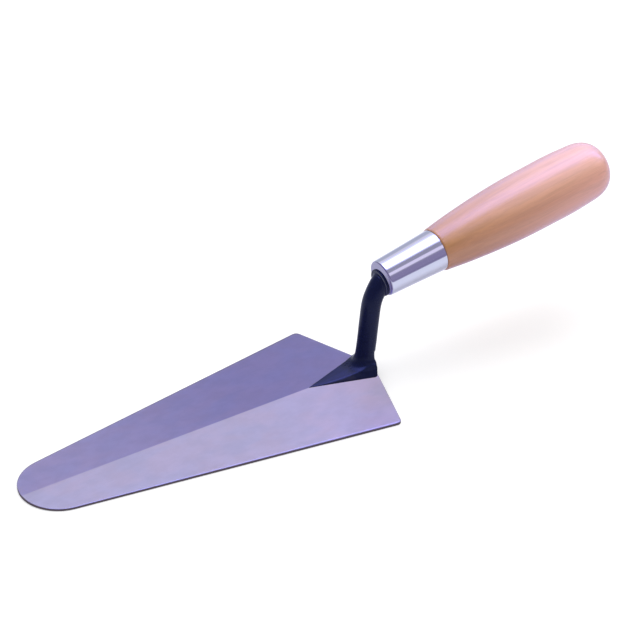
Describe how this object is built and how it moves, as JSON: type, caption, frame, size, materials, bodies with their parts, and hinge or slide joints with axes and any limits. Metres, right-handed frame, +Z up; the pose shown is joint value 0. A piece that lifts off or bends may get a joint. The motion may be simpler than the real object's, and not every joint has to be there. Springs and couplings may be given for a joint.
{
  "type": "gauging trowel",
  "caption": "Round-nosed steel gauging trowel with a crowned blade, a black forged shank, a chromed ferrule and a turned wood handle.",
  "frame": {"origin": "on the blade's flat underside, on the centreline, 20 mm in front of the point of the heel and below the foot of the shank", "axes": "+X along the centreline towards the handle (the nose points to -X), +Z up, away from the flat underside"},
  "size_m": [0.3069, 0.085, 0.0817],
  "materials": {
    "blade_steel": "satin",
    "black_paint": "gloss",
    "chrome_plate": "gloss",
    "varnished_wood": "gloss"
  },
  "bodies": {
    "root": {"blade": "blade_steel", "shank": "black_paint", "ferrule": "chrome_plate", "handle": "varnished_wood"}
  },
  "joints": []
}
